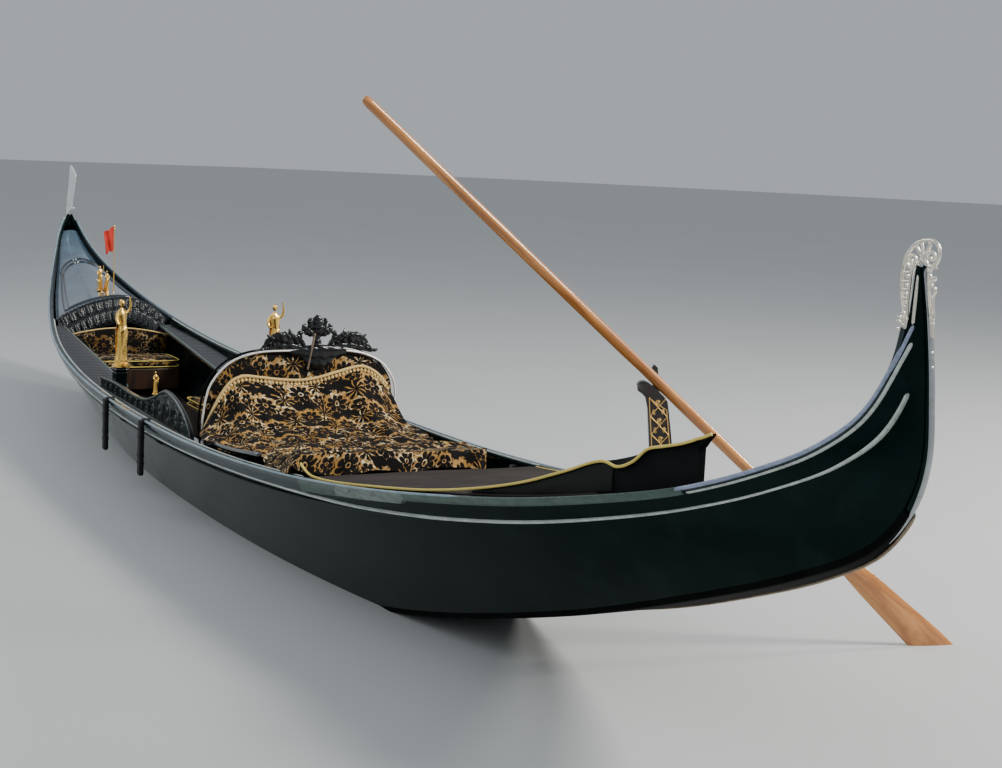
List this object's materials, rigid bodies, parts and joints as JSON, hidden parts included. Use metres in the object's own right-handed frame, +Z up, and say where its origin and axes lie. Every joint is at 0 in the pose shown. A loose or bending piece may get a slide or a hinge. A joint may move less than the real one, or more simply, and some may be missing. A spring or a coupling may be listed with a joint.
{
  "type": "gondola boat",
  "caption": "Long black flat-bottomed gondola afloat, curved up at both ends, with a canted hull, carved seats, bow and stern irons, a rowlock and one long sweeping oar.",
  "frame": {"origin": "amidships on the waterline, on the plane of the two posts", "axes": "+X along the hull to the bow, +Y to port, +Z up"},
  "size_m": [10.932, 3.1666, 2.7902],
  "materials": {
    "lacquer": "glossy black lacquer on wood",
    "carved_black": "satin black paint on carved wood",
    "grey_trim": "pale grey-green satin trim strip",
    "polished_metal": "polished, a little dull in the pits",
    "gilding": "polished gold",
    "damask": "woven gold and dark damask",
    "dark_cloth": "matt grey-black cloth with yellow piping",
    "boards": "dark painted boards, worn",
    "walnut": "oiled dark walnut",
    "oar_wood": "varnished orange-brown wood",
    "rubber": "matt black rubber",
    "flag_cloth": "plain red cloth"
  },
  "bodies": {
    "hull": {"hull_bottom": "lacquer", "hull_side_port": "lacquer", "hull_side_starboard": "lacquer", "stern_post": "lacquer", "stem_post": "lacquer", "foredeck": "lacquer", "stern_deck": "lacquer", "side_ledge_port": "lacquer", "side_ledge_starboard": "lacquer", "seat_base": "lacquer", "aft_bench": "lacquer", "forward_bench": "lacquer", "side_stool_port": "lacquer", "side_stool_starboard": "lacquer", "standing_platform": "lacquer", "foredeck_coaming": "carved_black", "fluted_side_deck_port": "carved_black", "fluted_side_deck_starboard": "carved_black", "side_panel_port": "carved_black", "side_panel_starboard": "carved_black", "seat_crest": "carved_black", "pedestal_port": "carved_black", "pedestal_starboard": "carved_black", "gunwale_port": "grey_trim", "gunwale_starboard": "grey_trim", "rub_strake_port": "grey_trim", "rub_strake_starboard": "grey_trim", "crest_stay": "grey_trim", "stern_iron": "polished_metal", "bow_iron": "polished_metal", "figure_port": "gilding", "figure_starboard": "gilding", "small_figure_port": "gilding", "small_figure_starboard": "gilding", "foredeck_figure": "gilding", "flag_pole": "gilding", "seat_cushion": "damask", "seat_back": "damask", "seat_drape": "damask", "forward_cushion": "damask", "forward_seat_back": "damask", "stool_cushion_port": "damask", "stool_cushion_starboard": "damask", "platform_mat": "dark_cloth", "stern_box": "dark_cloth", "stern_box_cover": "dark_cloth", "floor_boards": "boards", "thwart_mid": "boards", "thwart_aft": "boards", "forcola": "walnut", "forcola_block": "walnut", "fender_port_1": "rubber", "fender_port_2": "rubber", "flag": "flag_cloth"},
    "oar": {"oar": "oar_wood"}
  },
  "joints": [
    {"name": "oar_sweep", "type": "hinge", "parent": "hull", "child": "oar", "pos_m": [-3.297, -0.385, 1.127], "axis": [0, 0, 1], "range_deg": [-25, 15]}
  ]
}
